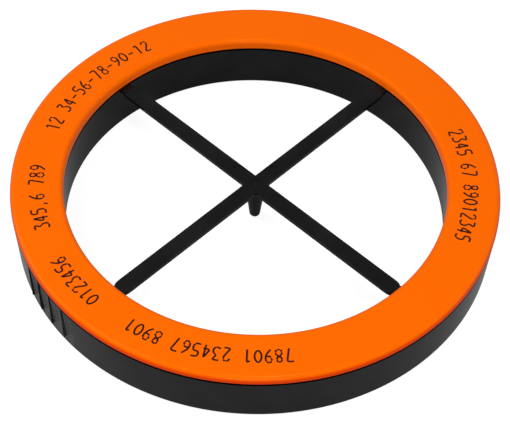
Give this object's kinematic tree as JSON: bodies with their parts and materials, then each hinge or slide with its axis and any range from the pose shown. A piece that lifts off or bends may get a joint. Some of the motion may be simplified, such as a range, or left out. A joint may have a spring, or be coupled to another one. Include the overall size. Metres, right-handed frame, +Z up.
{
  "type": "underground cable marker",
  "caption": "Flat ring-shaped cable marker: a black channel housing under a rounded orange lid, with a thin four-armed cross and a hanging centre peg in the ring's hole.",
  "frame": {"origin": "on the ring's axis, in the plane of the housing's underside", "axes": "+Z up along the ring's axis, from the housing to the lid; the cross's arms lie at 45 degrees to X and Y, and the grip ribs lie between -X and -Y"},
  "size_m": [0.21, 0.21, 0.027],
  "materials": {
    "black_plastic": "moulded black plastic, faintly grained, low sheen",
    "orange_plastic": "moulded signal orange plastic with a satin sheen",
    "copper_wire": null,
    "yellow_tape": "thin polyester tape",
    "board_laminate": "green solder mask over laminate",
    "chip_moulding": "dark moulded package",
    "capacitor_case": "dipped red case",
    "ceramic": "tan unglazed ceramic"
  },
  "bodies": {
    "root": {"housing": "black_plastic", "lid": "orange_plastic", "cross": "black_plastic", "coil": "copper_wire", "circuit_board": "board_laminate", "marker_chip": "chip_moulding", "main_capacitor": "capacitor_case", "coil_lead_start": "copper_wire", "coil_lead_end": "copper_wire", "coil_tape_1": "yellow_tape", "coil_tape_2": "yellow_tape", "coil_tape_3": "yellow_tape", "coil_tape_4": "yellow_tape", "coil_tape_5": "yellow_tape", "coil_tape_6": "yellow_tape", "coil_tape_7": "yellow_tape", "coil_tape_8": "yellow_tape", "trim_capacitor_1": "ceramic", "trim_capacitor_2": "ceramic", "trim_capacitor_3": "ceramic"}
  },
  "joints": []
}
